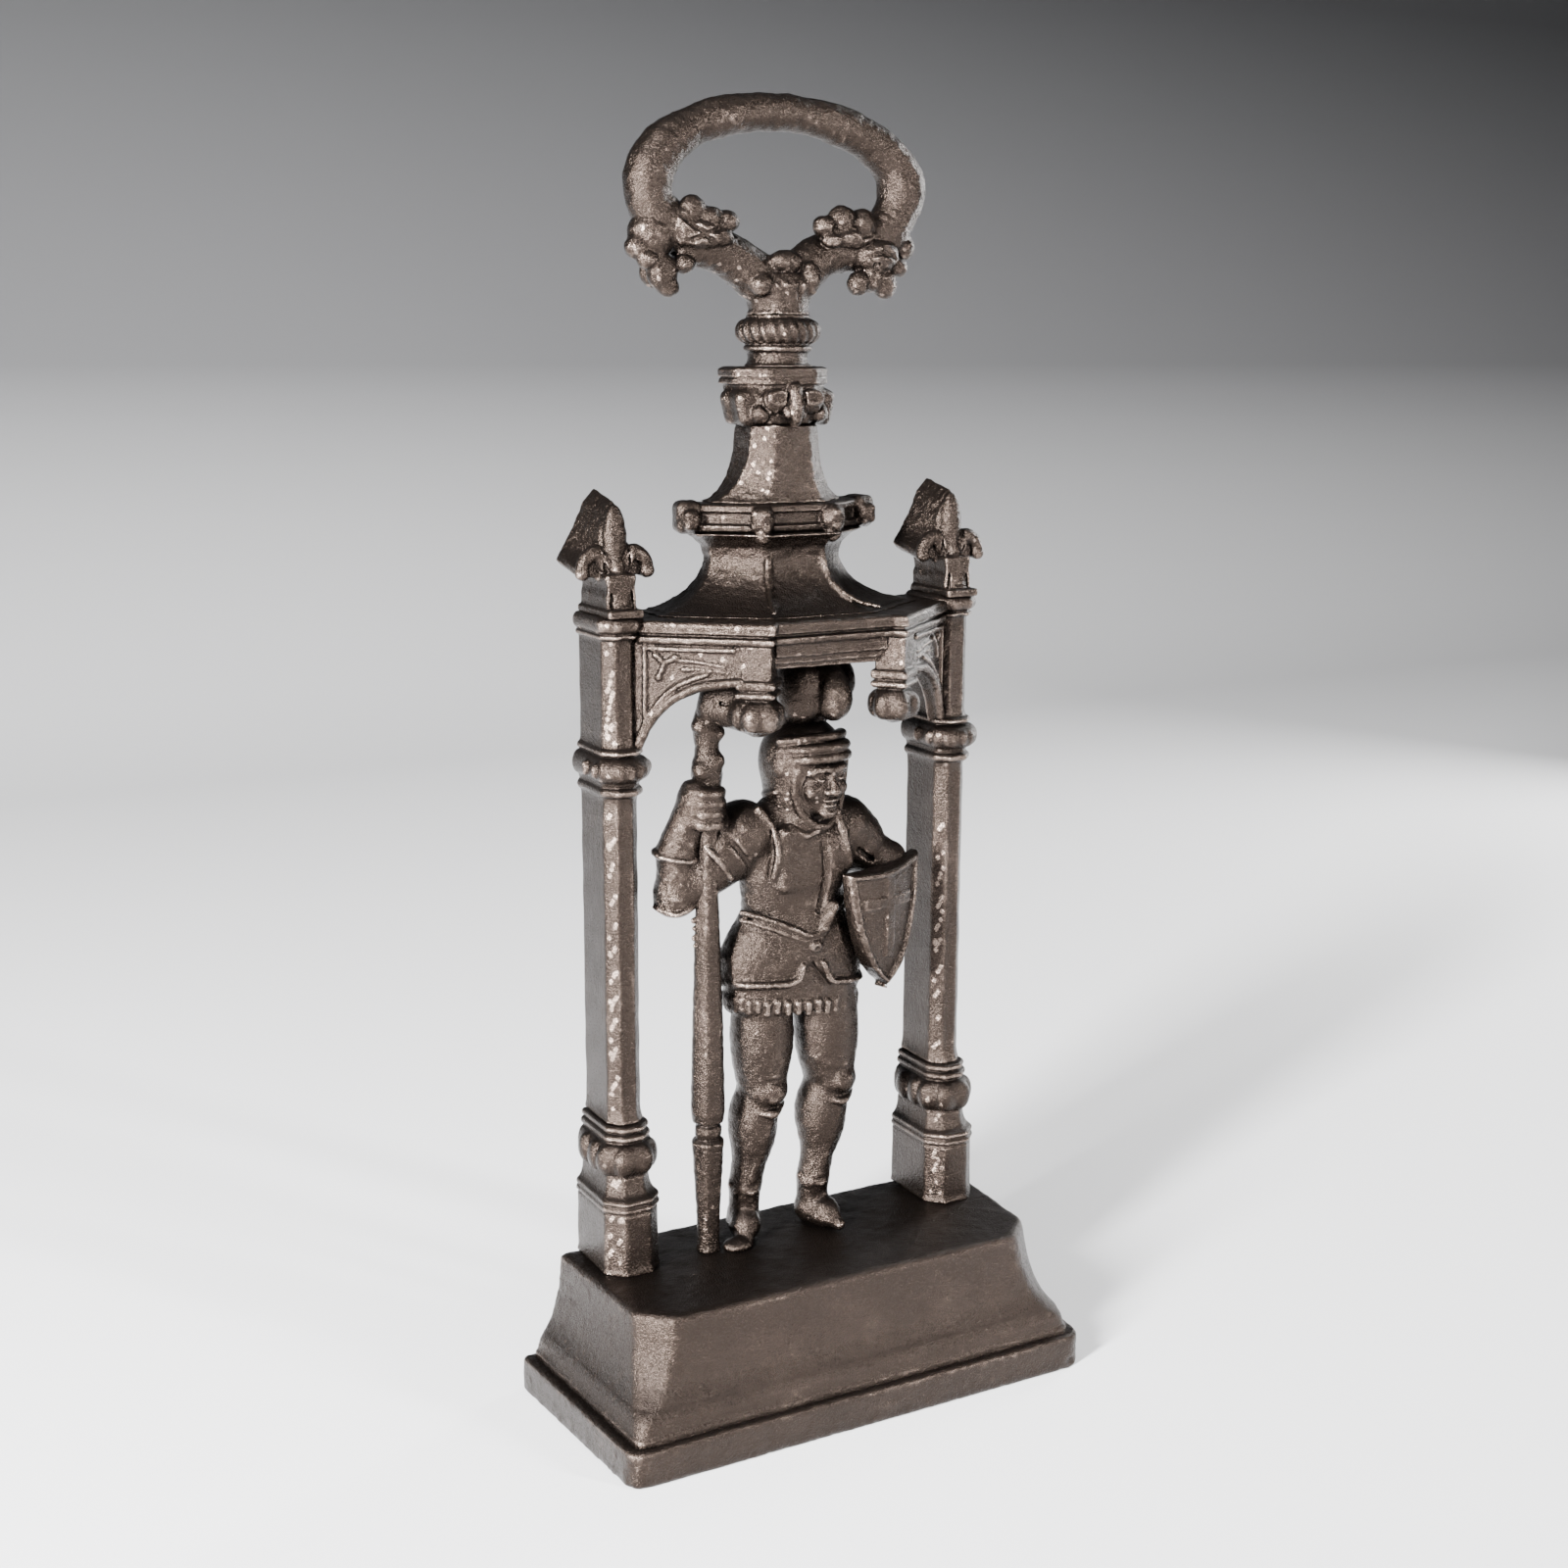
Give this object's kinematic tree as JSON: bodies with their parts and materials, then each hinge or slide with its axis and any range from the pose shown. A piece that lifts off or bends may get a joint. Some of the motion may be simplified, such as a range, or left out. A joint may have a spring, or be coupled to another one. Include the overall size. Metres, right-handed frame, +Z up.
{
  "type": "door stop",
  "caption": "Cast-iron door stop: an armoured knight with lance and shield stands under a Gothic canopy on two columns, on a moulded plinth with a loop handle above.",
  "frame": {"origin": "middle of the underside of the base slab", "axes": "+Z up, +Y towards the flat back, +X to the right seen from the front"},
  "size_m": [0.17, 0.0724, 0.395],
  "materials": {
    "iron": "polished sand-cast iron, dark warm brown-grey"
  },
  "bodies": {
    "root": {"base_plate": "iron", "plinth": "iron", "left_pedestal": "iron", "right_pedestal": "iron", "left_column": "iron", "right_column": "iron", "left_finial": "iron", "right_finial": "iron", "left_pendant": "iron", "right_pendant": "iron", "canopy": "iron", "canopy_roof": "iron", "gallery": "iron", "spirelet": "iron", "foliate_capital": "iron", "neck_collar": "iron", "handle_loop": "iron", "handle_stem": "iron", "lance": "iron", "shield": "iron", "knight": "iron"}
  },
  "joints": []
}
